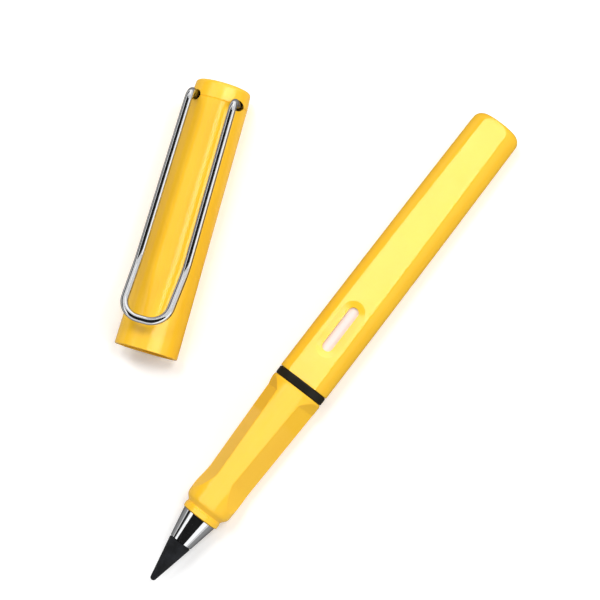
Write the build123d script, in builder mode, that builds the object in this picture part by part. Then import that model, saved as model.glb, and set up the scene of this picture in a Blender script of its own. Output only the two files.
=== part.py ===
"""An inkless metal pencil lying on a table with its cap off and lying beside it.

All lengths are in millimetres. The pencil lies along +X with its point toward -X, the cap lies at +Y,
and the table is Z = 0. Stations on the pencil are counted from its point, and stations on the cap from
its mouth.
"""

import os
from math import asin, atan, atan2, cos, hypot, radians, sin

from build123d import *

# Fits and edges.
SEAT_FIT = 0.05
SCREW_FIT = 0.08
TURN_FIT = 0.05
CAP_FIT = 0.16
THREAD_DEPTH = 0.5
EDGE = 0.15

# Writing tip: a cone with a ball nose, screwed into the ferrule on a stud.
TIP_LENGTH = 10.5
TIP_BASE_R = 2.78
TIP_NOSE_R = 0.7
STUD_R = 1.3
STUD_DEPTH = 5.0
TIP_THREAD_R = 2.0
TIP_THREAD_PITCH = 0.7
TIP_THREAD_TURNS = 6
TIP_THREAD_ROOM = 0.6

# Ferrule: the cone behind the tip, with a shank in the grip.
FERRULE_LENGTH = 7.1
FERRULE_END_R = 4.15
SHANK_LENGTH = 9.4
SHANK_STEP = 1.05

# Grip: nose lip, waist, swell, then a slow taper up to the rear rim.
GRIP_LENGTH = 35.95
GRIP_END_R = 6.34
LIP_WIDTH = 1.4
LIP_STEP = 0.43
WAIST_DEPTH = 0.12
WAIST_SLOPE = 0.6
SWELL_SETBACK = 4.8
SWELL_STEP = 0.72
RIM_EDGE = 0.4

# Finger facets: two scoops, one on each side of the top ridge.
FACET_ANGLE = 65.0
FACET_WALL = 1.05
FACET_LEAD = 1.5
FACET_LEAD_RISE = 0.68
FACET_SCOOP_SETBACK = 2.0
FACET_LOW_SETBACK = 6.2
FACET_DEPTH = 1.29
FACET_RAMP = 2.95
FACET_MARGIN = 0.35
FACET_RUNOUT = 0.08
FACET_EDGE = 0.35

# Ring and the threaded neck that runs through it into the barrel.
RING_WIDTH = 2.1
RING_INSET = 0.08
RING_WALL = 1.21
RING_LEDGE = 0.78
NECK_WALL = 1.32
NECK_THREAD_PITCH = 1.0
NECK_THREAD_TURNS = 7
NECK_RELIEF = 0.5

# Barrel: round and slowly tapering, with a flat on top and one underneath, and a window in each flat.
BARREL_LENGTH = 72.7
BARREL_BELLY_SETBACK = 14.35
BARREL_BELLY_STEP = 0.02
BARREL_END_STEP = 0.4
BARREL_CORNER = 2.2
BARREL_END_WALL = 2.2
FLAT_WALL = 0.78
FLAT_EDGE = 0.45
WINDOW_SETBACK = 14.15
WINDOW_LENGTH = 11.7
WINDOW_WIDTH = 2.5
WINDOW_BEVEL_DEPTH = 0.22
WINDOW_BEVEL_WIDTH = 1.5
LINER_WALL = 0.8

# Cap: a tapered shell, a closed finial, an inner cup and the clip's anchor.
CAP_WALL = 0.82
CAP_TOP_WALL = 1.24
CAP_BORE_LENGTH = 12.0
CAP_THROAT_SETBACK = 1.5
CAP_LIP_WIDTH = 1.5
CAP_LIP_STEP = 0.25
CAP_STOP_SETBACK = 2.2
INNER_CAP_WALL = 0.55
INNER_CAP_END_WALL = 1.1
TIP_ROOM = 0.975
FINIAL_HEIGHT = 4.1
FINIAL_TAPER = 0.24
FINIAL_CORNER = 1.0
ANCHOR_WALL = 0.52

# Clip: one wire, its two ends turned inward as trunnions on the seam.
WIRE_R = 0.9
TRUNNION_HEIGHT = 1.2
TRUNNION_INNER = 1.0
CLIP_INSET = 0.55
CLIP_SPLAY = 0.3
CLIP_GAP = 1.58
CLIP_KNEE = 19.15
CLIP_KNEE_HALF = 5.5
CLIP_TOE = 5.95
CLIP_TOE_RISE = 4.7
CLIP_TOE_HALF = 5.2
CLIP_ROOT_BEND = 1.3
CLIP_SHOULDER_BEND = 2.2
CLIP_KNEE_BEND = 12.0
CLIP_TOE_BEND = 4.4
CLIP_HOLE_ROOM = 0.35

# Where the cap lies on the table beside the pencil, and how far it has rolled away from it.
CAP_MOUTH_X = 39.44
CAP_MOUTH_Y = 32.37
CAP_HEADING = 21.35
CAP_ROLL = 2.0

# Stations along the pencil, and radii that follow from a neighbour.
ferrule_end = TIP_LENGTH + FERRULE_LENGTH
shank_end = ferrule_end + SHANK_LENGTH
shank_r = FERRULE_END_R - SHANK_STEP
lip_end = ferrule_end + LIP_WIDTH
lip_r = FERRULE_END_R + LIP_STEP
waist_r = lip_r - WAIST_DEPTH
swell = ferrule_end + SWELL_SETBACK
swell_r = GRIP_END_R - SWELL_STEP
grip_end = ferrule_end + GRIP_LENGTH
ring_end = grip_end + RING_WIDTH
ring_r = GRIP_END_R - RING_INSET
ring_hole_r = ring_r - RING_WALL
ring_seat_r = ring_hole_r - SEAT_FIT
neck_r = ring_seat_r - RING_LEDGE
neck_root_r = neck_r - THREAD_DEPTH * NECK_THREAD_PITCH
neck_start = ring_end + NECK_RELIEF
neck_end = neck_start + NECK_THREAD_TURNS * NECK_THREAD_PITCH
bore_r = neck_r + SCREW_FIT
pencil_end = ring_end + BARREL_LENGTH
bore_end = pencil_end - BARREL_END_WALL
barrel_end_r = GRIP_END_R - BARREL_END_STEP
flat_distance = bore_r + FLAT_WALL
flat_end = pencil_end - BARREL_CORNER * (1 - cos(asin(1 - (barrel_end_r - flat_distance) / BARREL_CORNER)))

# Stations along the cap. Closed, its lip meets the grip's swell and its mouth covers most of the ring.
cap_bore_r = GRIP_END_R + CAP_FIT
cap_mouth_r = cap_bore_r + CAP_WALL
closed_mouth = grip_end + 0.75 * RING_WIDTH
cap_lip = closed_mouth - swell + CAP_STOP_SETBACK
inner_cap_start = cap_lip + CAP_LIP_WIDTH
inner_cap_floor = closed_mouth + TIP_ROOM
inner_cap_end = inner_cap_floor + INNER_CAP_END_WALL
inner_cap_r = lip_r + CAP_FIT
cap_seat_r = inner_cap_r + INNER_CAP_WALL + SEAT_FIT
trunnion_hole_r = WIRE_R + SCREW_FIT
cap_seam = inner_cap_end + trunnion_hole_r + ANCHOR_WALL
anchor_end = cap_seam + trunnion_hole_r + ANCHOR_WALL
cap_seam_r = cap_seat_r + CAP_TOP_WALL
cap_end = cap_seam + FINIAL_HEIGHT
clip_root = cap_seat_r - CLIP_INSET
clip_height = cap_mouth_r + CLIP_GAP + WIRE_R

# The pencil rests on the grip's rear rim and on the far end of the barrel's lower flat.
rim_end = grip_end - RIM_EDGE
lay = atan2(GRIP_END_R - flat_distance, flat_end - rim_end)
pen_side = Plane(
    origin=(0, 0, rim_end * sin(lay) + GRIP_END_R * cos(lay)),
    x_dir=(cos(lay), 0, -sin(lay)),
    z_dir=(0, -1, 0),
)
pen_axis = Axis(pen_side.origin, pen_side.x_dir)

# The cap rests along its own taper, clip upward.
cap_lay = atan((cap_mouth_r - cap_seam_r) / cap_seam)
heading = radians(CAP_HEADING)
cap_axis = Axis(
    (CAP_MOUTH_X, CAP_MOUTH_Y, cap_mouth_r * cos(cap_lay)),
    (cos(heading) * cos(cap_lay), sin(heading) * cos(cap_lay), -sin(cap_lay)),
)
cap_side = Plane(
    origin=cap_axis.position,
    x_dir=cap_axis.direction,
    z_dir=Vector(sin(heading), -cos(heading), 0).rotate(cap_axis, -CAP_ROLL),
)


def turned(side, *outline):
    """Adds the solid turned from an outline of (station, radius) points."""
    with BuildSketch(side) as half:
        with BuildLine():
            Polyline(*outline, close=True)
        make_face()
    revolve(half.sketch, axis=Axis(side.origin, side.x_dir))


def thread(start, pitch, turns, crest_r):
    """Gives a thread's flanks as (station, radius) points, root to crest and back at each turn."""
    root_r = crest_r - THREAD_DEPTH * pitch
    points = []
    for turn in range(turns):
        station = start + turn * pitch
        points += [(station, root_r), (station + 0.4 * pitch, crest_r), (station + 0.6 * pitch, crest_r)]
    return points + [(start + turns * pitch, root_r)]


def flat_plane(sense):
    """Gives the plane of the barrel's upper (1) or lower (-1) flat, centred on its window."""
    spot = pen_side.from_local_coords((ring_end + WINDOW_SETBACK, sense * flat_distance, 0))
    return Plane(origin=spot, x_dir=pen_side.x_dir, z_dir=pen_side.y_dir * sense)


def clip_holes():
    """Cuts the two holes that the ends of the clip go down through."""
    side = clip_root + CLIP_SPLAY / 3
    floor = TRUNNION_HEIGHT - WIRE_R - EDGE
    for sense in (-1, 1):
        spot = cap_side.from_local_coords((cap_seam, floor, sense * side))
        with BuildSketch(Plane(origin=spot, x_dir=cap_side.x_dir, z_dir=cap_side.y_dir)) as hole:
            Circle(WIRE_R + CLIP_HOLE_ROOM)
        extrude(hole.sketch, amount=cap_mouth_r, mode=Mode.SUBTRACT)


with BuildPart() as writing_tip:
    cone = TIP_LENGTH - TIP_NOSE_R
    slope = atan2(TIP_BASE_R, cone) - asin(TIP_NOSE_R / hypot(TIP_BASE_R, cone))
    touch = (TIP_NOSE_R * (1 - sin(slope)), TIP_NOSE_R * cos(slope))
    bulge = (TIP_NOSE_R * (1 - cos(radians(45))), TIP_NOSE_R * sin(radians(45)))
    socket_r = STUD_R + TURN_FIT
    socket_end = TIP_LENGTH - STUD_DEPTH - EDGE
    with BuildSketch(pen_side):
        with BuildLine():
            ThreePointArc((0, 0), bulge, touch)
            Polyline(
                touch,
                (TIP_LENGTH - EDGE, TIP_BASE_R - EDGE * sin(slope)),
                (TIP_LENGTH, TIP_BASE_R - 2 * EDGE),
                (TIP_LENGTH, socket_r),
                (socket_end, socket_r),
                (socket_end, 0),
                (0, 0),
            )
        make_face()
    revolve(axis=pen_axis)

with BuildPart() as tip_stud:
    turned(
        pen_side,
        (TIP_LENGTH - STUD_DEPTH, 0),
        (TIP_LENGTH - STUD_DEPTH, STUD_R),
        (TIP_LENGTH, STUD_R),
        *thread(TIP_LENGTH, TIP_THREAD_PITCH, TIP_THREAD_TURNS, TIP_THREAD_R),
        (TIP_LENGTH + TIP_THREAD_TURNS * TIP_THREAD_PITCH, 0),
    )

with BuildPart() as ferrule:
    hole_r = TIP_THREAD_R + SCREW_FIT
    hole_end = TIP_LENGTH + TIP_THREAD_TURNS * TIP_THREAD_PITCH + TIP_THREAD_ROOM
    turned(
        pen_side,
        (TIP_LENGTH, hole_r),
        (TIP_LENGTH, TIP_BASE_R - 2 * EDGE),
        (TIP_LENGTH + EDGE, TIP_BASE_R),
        (ferrule_end - EDGE, FERRULE_END_R),
        (ferrule_end, FERRULE_END_R - EDGE),
        (ferrule_end, shank_r),
        (shank_end - 2 * EDGE, shank_r),
        (shank_end, shank_r - 2 * EDGE),
        (shank_end, 0),
        (hole_end, 0),
        (hole_end, hole_r),
    )

with BuildPart() as grip_section:
    shank_hole_r = shank_r + SEAT_FIT
    waist = lip_end + 2 * EDGE
    with BuildSketch(pen_side):
        with BuildLine():
            Polyline(
                (ferrule_end, shank_hole_r),
                (ferrule_end, lip_r - EDGE),
                (ferrule_end + EDGE, lip_r),
                (lip_end - EDGE, lip_r),
                (lip_end, lip_r - EDGE),
                (waist, waist_r),
            )
            Spline(
                (waist, waist_r),
                (0.66 * waist + 0.34 * swell, 0.25 * waist_r + 0.75 * swell_r),
                (swell, swell_r),
                tangents=((1, WAIST_SLOPE), (1, WAIST_SLOPE / 12)),
            )
            Polyline(
                (swell, swell_r),
                (rim_end, GRIP_END_R),
                (grip_end, GRIP_END_R - EDGE),
                (grip_end, ring_seat_r),
                (ring_end - SEAT_FIT, ring_seat_r),
                (ring_end - SEAT_FIT, neck_root_r),
                *thread(neck_start, NECK_THREAD_PITCH, NECK_THREAD_TURNS, neck_r),
                (neck_end, neck_root_r - NECK_WALL),
                (shank_end, neck_root_r - NECK_WALL),
                (shank_end, shank_hole_r),
                (ferrule_end, shank_hole_r),
            )
        make_face()
    revolve(axis=pen_axis)
    low_r = shank_hole_r + FACET_WALL
    front = (swell - FACET_LEAD, swell_r + FACET_LEAD_RISE)
    scoop = (swell + FACET_SCOOP_SETBACK, 0.65 * low_r + 0.35 * front[1])
    low = (swell + FACET_LOW_SETBACK, low_r)
    rear = (grip_end - FACET_RAMP, GRIP_END_R - FACET_DEPTH)
    runout = (grip_end - FACET_MARGIN, GRIP_END_R + FACET_RUNOUT)
    for angle in (-FACET_ANGLE, FACET_ANGLE):
        across = pen_side.z_dir.rotate(pen_axis, angle)
        with BuildSketch(Plane(origin=pen_side.origin, x_dir=pen_side.x_dir, z_dir=across)):
            with BuildLine():
                Spline(front, scoop, low, tangents=((1, -0.6), (rear[0] - low[0], rear[1] - low[1])))
                Polyline(low, rear, runout, (runout[0], 2 * GRIP_END_R), (front[0], 2 * GRIP_END_R), front)
            make_face()
        extrude(amount=2 * GRIP_END_R, both=True, mode=Mode.SUBTRACT)
        fillet(grip_section.edges(Select.LAST).filter_by(GeomType.LINE, reverse=True), FACET_EDGE)

with BuildPart() as joint_ring:
    turned(
        pen_side,
        (grip_end, ring_hole_r),
        (grip_end, ring_r - 2 * EDGE),
        (grip_end + 2 * EDGE, ring_r),
        (ring_end - 2 * EDGE, ring_r),
        (ring_end, ring_r - 2 * EDGE),
        (ring_end, ring_hole_r),
    )

with BuildPart() as barrel:
    with BuildSketch(pen_side):
        with BuildLine():
            Polyline((ring_end, bore_r), (ring_end, GRIP_END_R - EDGE), (ring_end + EDGE, GRIP_END_R))
            taper = Spline(
                (ring_end + EDGE, GRIP_END_R),
                (ring_end + BARREL_BELLY_SETBACK, GRIP_END_R - BARREL_BELLY_STEP),
                (pencil_end - BARREL_CORNER, barrel_end_r),
            )
            end = (pencil_end, barrel_end_r - BARREL_CORNER)
            TangentArc(taper @ 1, end, tangent=taper % 1)
            Polyline(
                end,
                (pencil_end, 0),
                (bore_end, 0),
                (bore_end, bore_r),
                (ring_end, bore_r),
            )
        make_face()
    revolve(axis=pen_axis)
    for sense in (-1, 1):
        split(bisect_by=flat_plane(sense), keep=Keep.BOTTOM)
    corners = barrel.edges().filter_by(lambda edge: edge.length > BARREL_LENGTH / 2)
    fillet(corners.filter_by(lambda edge: abs(edge.center().Y) > WINDOW_WIDTH / 2), FLAT_EDGE)
    for sense in (-1, 1):
        flat = flat_plane(sense)
        with BuildSketch(flat):
            SlotOverall(WINDOW_LENGTH, WINDOW_WIDTH)
        extrude(amount=-flat_distance / 2, mode=Mode.SUBTRACT)
        face = barrel.faces().filter_by(GeomType.PLANE).sort_by(Axis(flat.origin, flat.z_dir))[-1]
        rim = face.inner_wires()[0].edges()
        chamfer(rim, WINDOW_BEVEL_WIDTH, WINDOW_BEVEL_DEPTH, reference=face)

with BuildPart() as window_liner:
    liner_r = bore_r - 2 * TURN_FIT
    turned(
        pen_side,
        (neck_end + EDGE, liner_r),
        (bore_end, liner_r),
        (bore_end, liner_r - LINER_WALL),
        (neck_end + EDGE, liner_r - LINER_WALL),
    )

with BuildPart() as cap_shell:
    cap_lip_r = inner_cap_r + CAP_LIP_STEP
    turned(
        cap_side,
        (0, cap_bore_r + EDGE),
        (0, cap_mouth_r - EDGE),
        (EDGE, cap_mouth_r),
        (cap_seam - EDGE, cap_seam_r),
        (cap_seam, cap_seam_r - EDGE),
        (cap_seam, cap_seat_r),
        (inner_cap_start, cap_seat_r),
        (inner_cap_start, cap_lip_r),
        (cap_lip, cap_lip_r),
        (cap_lip - CAP_THROAT_SETBACK, swell_r + 2 * CAP_FIT),
        (CAP_BORE_LENGTH, cap_bore_r),
        (EDGE, cap_bore_r),
    )
    clip_holes()

with BuildPart() as inner_cap:
    turned(
        cap_side,
        (inner_cap_start, inner_cap_r),
        (inner_cap_start, cap_seat_r - SEAT_FIT),
        (inner_cap_end, cap_seat_r - SEAT_FIT),
        (inner_cap_end, 0),
        (inner_cap_floor, 0),
        (inner_cap_floor, inner_cap_r),
    )

with BuildPart() as clip_anchor:
    turned(
        cap_side,
        (inner_cap_end, 0),
        (inner_cap_end, cap_seat_r - SEAT_FIT),
        (anchor_end, cap_seat_r - SEAT_FIT),
        (anchor_end, 0),
    )
    clip_holes()
    centre = cap_side.from_local_coords((cap_seam, TRUNNION_HEIGHT, 0))
    with BuildSketch(Plane(origin=centre, x_dir=cap_side.x_dir, z_dir=cap_side.z_dir)):
        Circle(trunnion_hole_r)
    extrude(amount=cap_seat_r, both=True, mode=Mode.SUBTRACT)

with BuildPart() as cap_finial:
    with BuildSketch(cap_side):
        with BuildLine():
            FilletPolyline(
                (cap_seam, cap_seam_r - EDGE),
                (cap_seam + EDGE, cap_seam_r),
                (cap_end, cap_seam_r - FINIAL_TAPER),
                (cap_end, 0),
                radius=(0, FINIAL_CORNER),
            )
            Polyline(
                (cap_end, 0),
                (anchor_end, 0),
                (anchor_end, cap_seat_r),
                (cap_seam, cap_seat_r),
                (cap_seam, cap_seam_r - EDGE),
            )
        make_face()
    revolve(axis=cap_axis)
    clip_holes()

with BuildPart() as clip_wire:
    half = [
        (cap_seam, TRUNNION_HEIGHT, TRUNNION_INNER),
        (cap_seam, TRUNNION_HEIGHT, clip_root),
        (cap_seam, clip_height, clip_root + CLIP_SPLAY),
        (CLIP_KNEE, clip_height, CLIP_KNEE_HALF),
        (CLIP_TOE, clip_height + CLIP_TOE_RISE, CLIP_TOE_HALF),
    ]
    bends = [CLIP_ROOT_BEND, CLIP_SHOULDER_BEND, CLIP_KNEE_BEND, CLIP_TOE_BEND]
    mirrored = [(station, height, -side) for station, height, side in reversed(half)]
    with BuildLine(cap_side) as run:
        FilletPolyline(*half, *mirrored, radius=bends + bends[::-1])
    with BuildSketch(Plane(origin=run.line @ 0, z_dir=run.line % 0)):
        Circle(WIRE_R)
    sweep(path=run.line)

pieces = {
    "writing_tip": writing_tip,
    "tip_stud": tip_stud,
    "ferrule": ferrule,
    "grip_section": grip_section,
    "joint_ring": joint_ring,
    "barrel": barrel,
    "window_liner": window_liner,
    "cap_shell": cap_shell,
    "inner_cap": inner_cap,
    "clip_anchor": clip_anchor,
    "cap_finial": cap_finial,
    "clip_wire": clip_wire,
}

# The origin is on the table, under the middle of everything that lies there.
extent = Compound([piece.part for piece in pieces.values()]).bounding_box()
home = Location((-extent.center().X, -extent.center().Y, -extent.min.Z))

os.makedirs("parts", exist_ok=True)
for label, piece in pieces.items():
    solid = piece.part.solid().moved(home)
    solid.label = label
    export_step(solid, f"parts/{label}.step")
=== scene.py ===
"""Looks of an inkless metal pencil that lies on a pale table beside its cap.

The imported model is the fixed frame, and its solids have every form that shows. The writing end, the grip,
the barrel and the cap with its clip are each a class that dresses its solids with procedural finishes. All
sizes are in metres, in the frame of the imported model: +X along the pencil from its point, +Y toward the cap,
+Z up.
"""

import logging
import math
from dataclasses import dataclass
from enum import Enum
from typing import Any, ClassVar

import bmesh
import bpy
from mathutils import Matrix, Vector


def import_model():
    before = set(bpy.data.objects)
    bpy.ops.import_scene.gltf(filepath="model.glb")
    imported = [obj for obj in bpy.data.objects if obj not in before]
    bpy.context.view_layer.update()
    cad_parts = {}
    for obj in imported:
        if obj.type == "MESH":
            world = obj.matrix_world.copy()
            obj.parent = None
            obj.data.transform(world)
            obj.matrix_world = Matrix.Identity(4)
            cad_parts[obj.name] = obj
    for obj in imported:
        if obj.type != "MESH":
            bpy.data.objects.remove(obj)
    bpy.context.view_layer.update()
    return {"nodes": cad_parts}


LOG = logging.getLogger("pencil_and_cap")
Colour = tuple[float, float, float, float]
Point = tuple[float, float, float]
Span = tuple[float, float]


class Group(str, Enum):
    """The shared effects, each one shader node group."""

    MOULDED = "moulded_skin"
    TURNED = "turned_lines"
    SCUFFS = "hair_scuffs"


class NodeSheet:
    """Adds nodes and links to one node tree."""

    def __init__(self, tree: bpy.types.NodeTree) -> None:
        """Starts on an empty tree."""
        self.tree = tree
        self.tree.nodes.clear()

    def add(self, kind: str, label: str = "", **settings: Any) -> bpy.types.Node:
        """Adds a node.

        Args:
            kind: The node's type, without its ShaderNode prefix if it has that one.
            label: The node's name in the tree.
            **settings: Properties that are set on the node.

        Returns:
            The new node.
        """
        full = kind if kind.startswith(("NodeGroup", "ShaderNode")) else f"ShaderNode{kind}"
        node = self.tree.nodes.new(full)
        node.name = node.label = label or kind
        for name, value in settings.items():
            setattr(node, name, value)
        return node

    def feed(self, node: bpy.types.Node, **values: Any) -> bpy.types.Node:
        """Sets or links a node's inputs.

        Args:
            node: The node whose inputs are fed.
            **values: Socket names, with underscores for spaces, and a constant or an output socket for each.

        Returns:
            The same node.
        """
        for name, value in values.items():
            self.give(node.inputs[name.replace("_", " ")], value)
        return node

    def give(self, socket: bpy.types.NodeSocket, value: Any) -> None:
        """Links an output socket to an input, or sets the input to a constant."""
        if isinstance(value, bpy.types.NodeSocket):
            self.tree.links.new(value, socket)
        else:
            socket.default_value = value

    def noise(
        self, vector: bpy.types.NodeSocket, scale: Any, detail: float, rough: float
    ) -> bpy.types.NodeSocket:
        """Adds a noise texture and gives its value."""
        node = self.feed(self.add("TexNoise"), Vector=vector, Scale=scale, Detail=detail, Roughness=rough)
        return node.outputs[0]

    def maths(self, operation: str, first: Any, second: Any) -> bpy.types.NodeSocket:
        """Adds a sum on two values and gives the result."""
        node = self.add("Math", operation=operation)
        for socket, value in zip(node.inputs, (first, second)):
            self.give(socket, value)
        return node.outputs[0]

    def span(
        self, value: bpy.types.NodeSocket, given: Span, to: tuple[Any, Any] = (0.0, 1.0)
    ) -> bpy.types.NodeSocket:
        """Maps a value from a given span to another, clamped, and gives the result."""
        node = self.add("MapRange")
        self.feed(node, Value=value, From_Min=given[0], From_Max=given[1], To_Min=to[0], To_Max=to[1])
        return node.outputs["Result"]

    def blend(self, share: Any, first: Any, second: Any) -> bpy.types.NodeSocket:
        """Mixes two colours by a share and gives the result."""
        node = self.add("Mix", data_type="RGBA")
        sockets = [socket for socket in node.inputs if socket.enabled]
        for socket, value in zip(sockets, (share, first, second)):
            self.give(socket, value)
        return next(socket for socket in node.outputs if socket.enabled)

    def plus(self, first: bpy.types.Node, second: bpy.types.Node) -> bpy.types.NodeSocket:
        """Adds the light of two shaders and gives the result."""
        node = self.add("AddShader")
        for socket, shader in zip(node.inputs, (first, second)):
            self.give(socket, shader.outputs[0])
        return node.outputs[0]


def group_tree(
    name: Group, inputs: dict[str, str], outputs: dict[str, str]
) -> tuple[NodeSheet, bpy.types.NodeOutputs, bpy.types.Node]:
    """Starts a shader node group.

    Args:
        name: The effect's name.
        inputs: The input sockets, each with Float, Vector or Color.
        outputs: The output sockets in the same form.

    Returns:
        The sheet of the group's tree, the outputs of its input node, and its output node.
    """
    tree = bpy.data.node_groups.new(name.value, "ShaderNodeTree")
    for direction, sockets in (("INPUT", inputs), ("OUTPUT", outputs)):
        for socket, kind in sockets.items():
            tree.interface.new_socket(socket, in_out=direction, socket_type=f"NodeSocket{kind}")
    sheet = NodeSheet(tree)
    return sheet, sheet.add("NodeGroupInput").outputs, sheet.add("NodeGroupOutput")


class SharedEffects:
    """Builds the node groups that several finishes place.

    A scale counts the cells of a noise in one metre, and a span is the part of a noise that is used.
    """

    DRIFT_SCALE: ClassVar[float] = 95.0
    DRIFT_SPAN: ClassVar[Span] = (0.35, 0.68)
    CLOUD_SCALE: ClassVar[float] = 620.0
    CLOUD_SPAN: ClassVar[Span] = (0.3, 0.75)
    PEEL_SCALE: ClassVar[float] = 2600.0
    WANDER_SCALE: ClassVar[float] = 420.0
    RING_SPAN: ClassVar[Span] = (0.35, 0.7)
    STREAK_TILT: ClassVar[float] = 0.3
    STREAK_SPAN: ClassVar[Span] = (0.66, 0.72)
    STREAKS: ClassVar[tuple[tuple[float, Point], ...]] = ((0.5, (0.06, 1.0, 1.0)), (-1.1, (1.0, 0.05, 1.0)))
    PATCH_SCALE: ClassVar[float] = 140.0
    PATCH_SPAN: ClassVar[Span] = (0.45, 0.7)

    @classmethod
    def moulded(cls) -> None:
        """Builds the skin of moulded plastic: slow colour drift, uneven gloss and a faint orange peel."""
        sheet, given, out = group_tree(
            Group.MOULDED,
            {"Vector": "Vector", "Colour": "Color", "Deep": "Color", "Gloss": "Float", "Spread": "Float"},
            {"Colour": "Color", "Roughness": "Float", "Height": "Float"},
        )
        drift = sheet.span(sheet.noise(given["Vector"], cls.DRIFT_SCALE, 2.0, 0.5), cls.DRIFT_SPAN)
        clouds = sheet.noise(given["Vector"], cls.CLOUD_SCALE, 4.0, 0.6)
        cloud = sheet.span(clouds, cls.CLOUD_SPAN, (-0.5, 0.5))
        peel = sheet.noise(given["Vector"], cls.PEEL_SCALE, 3.0, 0.55)
        gloss = sheet.maths("ADD", given["Gloss"], sheet.maths("MULTIPLY", given["Spread"], cloud))
        colour = sheet.blend(drift, given["Colour"], given["Deep"])
        sheet.feed(out, Colour=colour, Roughness=gloss, Height=peel)

    @classmethod
    def turned(cls) -> None:
        """Builds lathe lines: rings along the first axis of the vector, broken up a little round it."""
        sheet, given, out = group_tree(
            Group.TURNED,
            {"Vector": "Vector", "Lines": "Float", "Break": "Float"},
            {"Mask": "Float", "Height": "Float"},
        )
        parts = sheet.feed(sheet.add("SeparateXYZ"), Vector=given["Vector"])
        uneven = sheet.noise(given["Vector"], cls.WANDER_SCALE, 2.0, 0.5)
        wander = sheet.maths("MULTIPLY", uneven, given["Break"])
        place = sheet.maths("ADD", sheet.maths("MULTIPLY", parts.outputs["X"], given["Lines"]), wander)
        rings = sheet.feed(sheet.add("TexNoise", noise_dimensions="1D"), W=place, Scale=1.0, Detail=3.0)
        mask = sheet.span(rings.outputs[0], cls.RING_SPAN)
        sheet.feed(out, Mask=mask, Height=rings.outputs[0])

    @classmethod
    def scuffs(cls) -> None:
        """Builds sparse hair scuffs: long thin streaks that cross at two angles."""
        sheet, given, out = group_tree(
            Group.SCUFFS, {"Vector": "Vector", "Scale": "Float", "Share": "Float"}, {"Mask": "Float"}
        )
        streaks = []
        for turn, stretch in cls.STREAKS:
            mapping = sheet.add("Mapping")
            angles = (cls.STREAK_TILT, turn, turn)
            sheet.feed(mapping, Vector=given["Vector"], Rotation=angles, Scale=stretch)
            field = sheet.noise(mapping.outputs[0], given["Scale"], 1.0, 0.4)
            streaks.append(sheet.span(field, cls.STREAK_SPAN))
        both = sheet.maths("MAXIMUM", *streaks)
        patch = sheet.span(sheet.noise(given["Vector"], cls.PATCH_SCALE, 2.0, 0.5), cls.PATCH_SPAN)
        sheet.feed(out, Mask=sheet.maths("MULTIPLY", sheet.maths("MULTIPLY", both, patch), given["Share"]))

    @classmethod
    def build(cls) -> None:
        """Builds every shared effect once."""
        for effect in (cls.moulded, cls.turned, cls.scuffs):
            effect()


@dataclass(frozen=True)
class Finish:
    """A surface finish: the parts of its material that are the same all over."""

    name: str

    def sheet(self) -> tuple[bpy.types.Material, NodeSheet, bpy.types.Node, bpy.types.NodeSocket]:
        """Starts the material.

        Returns:
            The material, its sheet, its Principled shader, and the Object coordinates.
        """
        material = bpy.data.materials.new(self.name)
        material.use_nodes = True
        sheet = NodeSheet(material.node_tree)
        shader = sheet.add("BsdfPrincipled", "surface")
        sheet.feed(sheet.add("OutputMaterial", "output"), Surface=shader.outputs[0])
        return material, sheet, shader, sheet.add("TexCoord", "place").outputs["Object"]

    def effect(self, sheet: NodeSheet, name: Group, **values: Any) -> bpy.types.Node:
        """Places a shared effect in the material.

        Args:
            sheet: The material's sheet.
            name: The effect.
            **values: The effect's inputs.

        Returns:
            The group node.
        """
        node = sheet.add("Group", name.value, node_tree=bpy.data.node_groups[name.value])
        return sheet.feed(node, **values)

    def bump(self, sheet: NodeSheet, height: bpy.types.NodeSocket, depth: float) -> bpy.types.NodeSocket:
        """Turns a height into a normal, with a depth in metres."""
        node = sheet.feed(sheet.add("Bump", "relief"), Height=height, Strength=1.0, Distance=depth)
        return node.outputs[0]

    def material(self) -> bpy.types.Material:
        """Builds the material."""
        raise NotImplementedError


@dataclass(frozen=True)
class MouldedPlastic(Finish):
    """Moulded plastic in any colour, with a few hair scuffs in its gloss where it has a share of them."""

    colour: Colour = (0.8, 0.8, 0.8, 1.0)
    deep: Colour = (0.7, 0.7, 0.7, 1.0)
    gloss: float = 0.4
    spread: float = 0.12
    peel: float = 4.0e-6
    shine: float = 0.5
    scuff_scale: float = 900.0
    scuff_share: float = 0.0

    def material(self) -> bpy.types.Material:
        """Builds the moulded skin."""
        material, sheet, shader, place = self.sheet()
        skin = self.effect(sheet, Group.MOULDED, Vector=place, Colour=self.colour, Deep=self.deep)
        sheet.feed(skin, Gloss=self.gloss, Spread=self.spread)
        rough = skin.outputs["Roughness"]
        if self.scuff_share:
            scuffs = self.effect(
                sheet, Group.SCUFFS, Vector=place, Scale=self.scuff_scale, Share=self.scuff_share
            )
            rough = sheet.maths("ADD", rough, scuffs.outputs["Mask"])
        sheet.feed(shader, Base_Color=skin.outputs["Colour"], Roughness=rough, Specular_IOR_Level=self.shine)
        sheet.feed(shader, Normal=self.bump(sheet, skin.outputs["Height"], self.peel))
        return material


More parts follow.
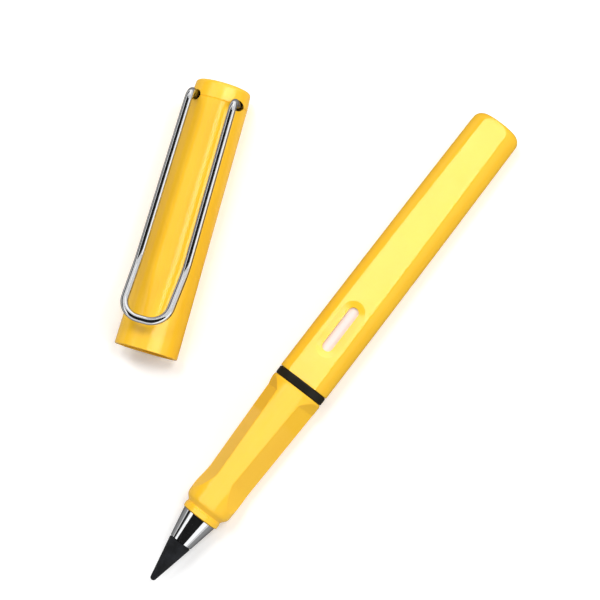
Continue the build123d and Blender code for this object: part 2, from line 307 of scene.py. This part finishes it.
@dataclass(frozen=True)
class BrightMetal(Finish):
    """Plated or turned metal."""

    colour: Colour = (0.62, 0.626, 0.635, 1.0)
    dull: Colour = (0.54, 0.55, 0.565, 1.0)
    rim: Colour = (0.3, 0.31, 0.33, 1.0)
    gloss: float = 0.045
    spread: float = 0.05
    lines: float = 9000.0
    line_break: float = 0.6
    line_share: float = 0.35
    scuff_scale: float = 1500.0
    scuff_share: float = 0.5
    relief: float = 0.0

    def material(self) -> bpy.types.Material:
        """Builds the metal with faint turning lines and hair scuffs."""
        material, sheet, shader, place = self.sheet()
        turned = self.effect(sheet, Group.TURNED, Vector=place, Lines=self.lines, Break=self.line_break)
        scuffs = self.effect(
            sheet, Group.SCUFFS, Vector=place, Scale=self.scuff_scale, Share=self.scuff_share
        )
        faint = sheet.maths("MULTIPLY", turned.outputs["Mask"], self.line_share)
        wear = sheet.maths("MAXIMUM", faint, scuffs.outputs["Mask"])
        rough = sheet.span(wear, (0.0, 1.0), (self.gloss, self.gloss + self.spread))
        colour = sheet.blend(wear, self.colour, self.dull)
        sheet.feed(shader, Base_Color=colour, Roughness=rough, Metallic=1.0, Specular_Tint=self.rim)
        if self.relief:
            sheet.feed(shader, Normal=self.bump(sheet, turned.outputs["Height"], self.relief))
        return material


@dataclass(frozen=True)
class DarkGraphite(Finish):
    """Charcoal graphite alloy, turned and lightly rubbed."""

    colour: Colour = (0.014, 0.0146, 0.0158, 1.0)
    rubbed: Colour = (0.026, 0.028, 0.033, 1.0)
    gloss: float = 0.5
    polish: float = 0.12
    shine: float = 0.06
    lines: float = 5200.0
    line_break: float = 0.5
    line_share: Span = (0.55, 1.0)
    patch_scale: float = 380.0
    patch_span: Span = (0.4, 0.72)
    relief: float = 6.0e-6

    def material(self) -> bpy.types.Material:
        """Builds the charcoal body with turned lines, and a sheen where it is rubbed."""
        material, sheet, shader, place = self.sheet()
        turned = self.effect(sheet, Group.TURNED, Vector=place, Lines=self.lines, Break=self.line_break)
        patch = sheet.span(sheet.noise(place, self.patch_scale, 4.0, 0.6), self.patch_span)
        lined = sheet.span(turned.outputs["Mask"], (0.0, 1.0), self.line_share)
        share = sheet.maths("MULTIPLY", patch, lined)
        rough = sheet.span(share, (0.0, 1.0), (self.gloss, self.gloss - self.polish))
        colour = sheet.blend(share, self.colour, self.rubbed)
        sheet.feed(shader, Base_Color=colour, Roughness=rough, Specular_IOR_Level=self.shine)
        sheet.feed(shader, Normal=self.bump(sheet, turned.outputs["Height"], self.relief))
        return material


YELLOW = MouldedPlastic(
    "yellow_gloss",
    colour=(0.965, 0.56, 0.03, 1.0),
    deep=(0.955, 0.535, 0.026, 1.0),
    gloss=0.2,
    spread=0.05,
    peel=2.0e-6,
    shine=0.3,
    scuff_share=0.05,
)
RUBBER = MouldedPlastic(
    "black_rubber",
    colour=(0.013, 0.012, 0.009, 1.0),
    deep=(0.024, 0.022, 0.017, 1.0),
    gloss=0.34,
    peel=6.0e-6,
    shine=0.07,
)
LINER = MouldedPlastic(
    "off_white_liner",
    colour=(0.9, 0.81, 0.8, 1.0),
    deep=(0.89, 0.78, 0.76, 1.0),
    gloss=0.38,
    peel=3.0e-6,
)
DARK = MouldedPlastic(
    "dark_plastic",
    colour=(0.035, 0.022, 0.014, 1.0),
    deep=(0.025, 0.016, 0.011, 1.0),
    gloss=0.5,
    peel=5.0e-6,
)
CHROME = BrightMetal("chrome_plate")
STEEL = BrightMetal(
    "turned_steel",
    colour=(0.5, 0.5, 0.51, 1.0),
    dull=(0.36, 0.36, 0.37, 1.0),
    gloss=0.24,
    spread=0.16,
    lines=7000.0,
    relief=4.0e-6,
)
GRAPHITE = DarkGraphite("graphite_alloy")


@dataclass
class SubAssembly:
    """A group of solids that are dressed together."""

    nodes: dict[str, bpy.types.Object]
    finishes: ClassVar[dict[str, Finish]] = {}
    made: ClassVar[dict[Finish, bpy.types.Material]] = {}

    def build(self) -> None:
        """Makes the materials that the solids need, each of them once for the whole model."""
        for finish in self.finishes.values():
            if finish not in self.made:
                self.made[finish] = finish.material()

    def dress(self) -> None:
        """Gives every solid its finish."""
        for name, finish in self.finishes.items():
            materials = self.nodes[name].data.materials
            materials.clear()
            materials.append(self.made[finish])
            LOG.info("%s: solid, dressed in %s", name, finish.name)


@dataclass
class WritingEnd(SubAssembly):
    """The writing tip, the chrome ferrule and the stud that joins them."""

    finishes: ClassVar[dict[str, Finish]] = {"writing_tip": GRAPHITE, "ferrule": CHROME, "tip_stud": STEEL}


@dataclass
class Grip(SubAssembly):
    """The faceted grip and the black ring behind it."""

    finishes: ClassVar[dict[str, Finish]] = {"grip_section": YELLOW, "joint_ring": RUBBER}


@dataclass
class Barrel(SubAssembly):
    """The barrel and the liner seen through its windows."""

    finishes: ClassVar[dict[str, Finish]] = {"barrel": YELLOW, "window_liner": LINER}


@dataclass
class Cap(SubAssembly):
    """The cap's shell, finial, inner cup and clip anchor, and its wire clip."""

    finishes: ClassVar[dict[str, Finish]] = {
        "cap_shell": YELLOW,
        "cap_finial": YELLOW,
        "inner_cap": LINER,
        "clip_anchor": DARK,
        "clip_wire": CHROME,
    }


def facing(place: Point, aim: Point) -> Matrix:
    """Gives the stand of a light or card that faces a point.

    Args:
        place: The middle of the light or card.
        aim: The point that its face looks at.

    Returns:
        The transform, with the long side kept along the pencil.
    """
    back = (Vector(place) - Vector(aim)).normalized()
    upward = back.cross(Vector((1.0, 0.0, 0.0))).normalized()
    turn = Matrix((upward.cross(back), upward, back)).transposed().to_4x4()
    return Matrix.Translation(place) @ turn


def seen_rays(sheet: NodeSheet) -> bpy.types.NodeSocket:
    """Gives 1 where the eye, a reflection or a look through glass meets a surface, and 0 elsewhere."""
    path = sheet.add("LightPath")
    seen = sheet.maths("MAXIMUM", path.outputs["Is Camera Ray"], path.outputs["Is Glossy Ray"])
    return sheet.maths("MAXIMUM", seen, path.outputs["Is Transmission Ray"])


def matt_material(name: str, colour: Colour, glow: float = 0.0) -> bpy.types.Material:
    """Builds the matt material of a card or of the floor.

    Args:
        name: The material's name.
        colour: Its colour.
        glow: White that the eye, and metal and glass with it, see on top of the lit colour.

    Returns:
        The material.
    """
    material = bpy.data.materials.new(name)
    material.use_nodes = True
    sheet = NodeSheet(material.node_tree)
    lit = sheet.feed(sheet.add("BsdfDiffuse"), Color=colour)
    own = sheet.feed(sheet.add("Emission"), Strength=sheet.maths("MULTIPLY", seen_rays(sheet), glow))
    sheet.feed(sheet.add("OutputMaterial"), Surface=sheet.plus(lit, own))
    return material


@dataclass(frozen=True)
class SoftBox:
    """A square studio light that shades the object and is not seen in it."""

    name: str
    place: Point
    side: float
    radiance: float

    def build(self) -> None:
        """Adds the light, with the power that gives its face the stated radiance."""
        light = bpy.data.lights.new(self.name, "AREA")
        light.shape = "SQUARE"
        light.size = self.side
        light.energy = math.pi * self.side**2 * self.radiance
        lamp = bpy.data.objects.new(self.name, light)
        lamp.matrix_world = facing(self.place, (0.0, 0.0, 0.0))
        lamp.visible_glossy = False
        bpy.context.scene.collection.objects.link(lamp)


def hung_card(name: str, stand: Matrix, size: Span, face: bpy.types.Material) -> bpy.types.Object:
    """Adds a flat studio card that only reflections see.

    Args:
        name: The card's name.
        stand: Its transform.
        size: Its width and height.
        face: Its material.

    Returns:
        The card.
    """
    mesh = bpy.data.meshes.new(name)
    form = bmesh.new()
    bmesh.ops.create_grid(form, x_segments=1, y_segments=1, size=0.5)
    spread = stand @ Matrix.Diagonal((*size, 1.0, 1.0))
    bmesh.ops.transform(form, matrix=spread, verts=form.verts)
    form.to_mesh(mesh)
    form.free()
    card = bpy.data.objects.new(name, mesh)
    card.data.materials.append(face)
    card.visible_camera = card.visible_diffuse = card.visible_shadow = False
    card.visible_transmission = card.visible_volume_scatter = False
    bpy.context.scene.collection.objects.link(card)
    return card


@dataclass(frozen=True)
class PaintedHighlightCard:
    """A glowing see-through card that lights nothing and only reflections see, in all pieces or in the named
    ones only: painted highlights and sheen.
    """

    name: str
    place: Point
    aim: Point
    size: Span
    radiance: float
    only: tuple[str, ...] = ()

    def build(self) -> None:
        """Adds the card, and the list of pieces that mirror it."""
        card = hung_card(self.name, facing(self.place, self.aim), self.size, self.painted_highlight_face())
        if self.only:
            mirrors = bpy.data.collections.new(f"mirrors_{self.name}")
            for name in self.only:
                mirrors.objects.link(bpy.data.objects[name])
            card.light_linking.receiver_collection = mirrors

    def painted_highlight_face(self) -> bpy.types.Material:
        """Builds the card's face: a painted glow on top of what shows through, seen only as a highlight in
        reflections.
        """
        material = bpy.data.materials.new(f"{self.name}_silk")
        material.use_nodes = True
        material.cycles.emission_sampling = "NONE"
        sheet = NodeSheet(material.node_tree)
        own = sheet.feed(sheet.add("Emission"), Strength=self.radiance)
        through = sheet.add("BsdfTransparent")
        sheet.feed(sheet.add("OutputMaterial"), Surface=sheet.plus(through, own))
        return material


@dataclass(frozen=True)
class Flag:
    """A dark matt card that only reflections see: a painted dark reflection, and where it lies on the floor,
    painted shade of the floor in reflections.
    """

    name: str
    place: Point
    aim: Point
    size: Span
    colour: Colour = (0.03, 0.03, 0.03, 1.0)

    def build(self) -> None:
        """Adds the card."""
        dark_reflection_face = matt_material(f"{self.name}_cloth", self.colour)
        hung_card(self.name, facing(self.place, self.aim), self.size, dark_reflection_face)


CAP_OUTSIDE = ("cap_shell", "cap_finial")
FAR_ENDS = ("barrel", "cap_finial")
# Greys of the floor cards that paint the floor's shade near the pencil and under the barrel into reflections.
GREY_FLOOR_SHADE: Colour = (0.36, 0.36, 0.36, 1.0)
DARK_FLOOR_SHADE: Colour = (0.08, 0.08, 0.08, 1.0)


@dataclass
class Studio:
    """The pale floor, the soft lights, the glowing cards that paint highlights and sheen into reflections, the
    dark cards that paint dark reflections and the floor's shade into them, and the white surroundings.
    """

    floor_half: float = 4.0
    floor_cells: int = 8
    floor_colour: Colour = (0.95, 0.95, 0.95, 1.0)
    floor_glow: float = 0.15
    ambient: float = 0.36
    boxes: tuple[SoftBox, ...] = (
        SoftBox("left_key", (0.155, 0.203, 0.95), 0.2, 17.6),
        SoftBox("right_key", (0.293, -0.15, 0.95), 0.2, 21.4),
        SoftBox("right_fill", (0.4, -0.75, 0.7), 0.4, 7.0),
        SoftBox("left_fill", (0.3, 0.65, 0.8), 0.4, 5.4),
    )
    # Glowing cards that light nothing and only reflections see: painted sheen on the barrel, grip, cap and
    # finial, a painted highlight strip on the cap, painted pale highlights on the barrel's end and the finial,
    # and painted white stripes in the clip, the chrome and the gloss.
    cards: tuple[PaintedHighlightCard, ...] = (
        PaintedHighlightCard("barrel_sheen", (0.39, 0.039, 0.62), (0.39, -0.027, 0.0), (0.8, 0.44), 12.0, ("barrel",)),
        PaintedHighlightCard("grip_sheen", (-0.05, 0.03, 0.6), (0.0, 0.0, 0.0), (1.2, 1.2), 5.0, ("grip_section",)),
        PaintedHighlightCard("cap_sheen", (0.0, 0.03, 0.6), (0.0, 0.0, 0.0), (1.2, 1.2), 2.0, CAP_OUTSIDE),
        PaintedHighlightCard("finial_sheen", (0.0, 0.03, 0.62), (0.0, 0.0, 0.0), (1.2, 1.2), 1.6, ("cap_finial",)),
        PaintedHighlightCard("cap_strip", (0.143, -0.337, 0.6), (0.0045, 0.0165, 0.01), (1.0, 0.64), 7.0, CAP_OUTSIDE),
        PaintedHighlightCard("end_card", (0.9, 0.03, 0.33), (0.06, 0.0, 0.0), (0.66, 1.6), 3.0, FAR_ENDS),
        PaintedHighlightCard("clip_card", (0.8, 0.33, 0.25), (0.0, 0.02, 0.02), (0.5, 1.2), 0.6, ("clip_wire",)),
        PaintedHighlightCard("right_card", (-0.2, -0.704, 0.339), (-0.2, -0.03, 0.01), (1.4, 0.43), 0.6),
        PaintedHighlightCard("left_card", (-0.38, 0.572, 0.461), (-0.38, -0.027, 0.01), (0.36, 0.34), 0.6),
    )
    # Dark cards that only reflections see: overhead and to the left they paint dark reflections, and on the
    # floor they paint the floor's shade near the pencil into reflections.
    flags: tuple[Flag, ...] = (
        Flag("flag_over", (-0.325, -0.12, 0.75), (-0.325, -0.12, 0.0), (1.25, 1.44)),
        Flag("flag_left", (0.0, 0.95, 0.33), (0.0, 0.0, 0.33), (2.6, 0.46)),
        Flag("ground_shade_card", (-0.03, 0.0, 0.0004), (-0.03, 0.0, -1.0), (0.3, 0.3), GREY_FLOOR_SHADE),
        Flag("barrel_ground_shade", (0.05, -0.0425, 0.0008), (0.05, -0.0425, -1.0), (0.14, 0.095), DARK_FLOOR_SHADE),
    )

    def floor(self) -> None:
        """Adds the flat floor."""
        mesh = bpy.data.meshes.new("floor")
        form = bmesh.new()
        cells = self.floor_cells
        bmesh.ops.create_grid(form, x_segments=cells, y_segments=cells, size=self.floor_half)
        form.to_mesh(mesh)
        form.free()
        floor = bpy.data.objects.new("floor", mesh)
        floor.data.materials.append(matt_material("pale_floor", self.floor_colour, self.floor_glow))
        bpy.context.scene.collection.objects.link(floor)

    def surroundings(self) -> None:
        """Makes the world white to the eye and in reflections, and a plain ambient light for the rest."""
        world = bpy.data.worlds.new("studio")
        bpy.context.scene.world = world
        world.use_nodes = True
        sheet = NodeSheet(world.node_tree)
        level = sheet.span(seen_rays(sheet), (0.0, 1.0), (self.ambient, 1.0))
        back = sheet.feed(sheet.add("Background"), Color=(1.0, 1.0, 1.0, 1.0), Strength=level)
        sheet.feed(sheet.add("OutputWorld"), Surface=back.outputs[0])

    def build(self) -> None:
        """Builds the whole studio."""
        self.floor()
        self.surroundings()
        for light_or_card in (*self.boxes, *self.cards, *self.flags):
            light_or_card.build()


@dataclass
class ViewPoint:
    """The photograph's camera."""

    place: Point = (-0.007, -0.09092, 0.5851)
    aim: Point = (0.00567, -0.01464, 0.0)
    up: Point = (0.7926, 0.6097, 0.0)
    lens: float = 156.0
    sensor: float = 36.0
    clip: Span = (0.01, 50.0)

    def build(self) -> None:
        """Adds the camera and makes it the scene's own."""
        data = bpy.data.cameras.new("photograph")
        data.lens, data.sensor_width = self.lens, self.sensor
        data.sensor_fit = "HORIZONTAL"
        data.clip_start, data.clip_end = self.clip
        back = (Vector(self.place) - Vector(self.aim)).normalized()
        right = Vector(self.up).cross(back).normalized()
        upward = back.cross(right)
        camera = bpy.data.objects.new("photograph", data)
        turn = Matrix((right, upward, back)).transposed().to_4x4()
        camera.matrix_world = Matrix.Translation(self.place) @ turn
        bpy.context.scene.collection.objects.link(camera)
        bpy.context.scene.camera = camera


def main() -> None:
    """Loads the frame, dresses the sub-assemblies in order and sets up the studio."""
    logging.basicConfig(level=logging.INFO, format="%(name)s: %(message)s")
    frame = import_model()
    SharedEffects.build()
    for kind in (WritingEnd, Grip, Barrel, Cap):
        assembly = kind(frame["nodes"])
        assembly.build()
        assembly.dress()
    Studio().build()
    ViewPoint().build()
    bpy.context.scene.view_settings.view_transform = "Standard"


if __name__ == "__main__":
    main()
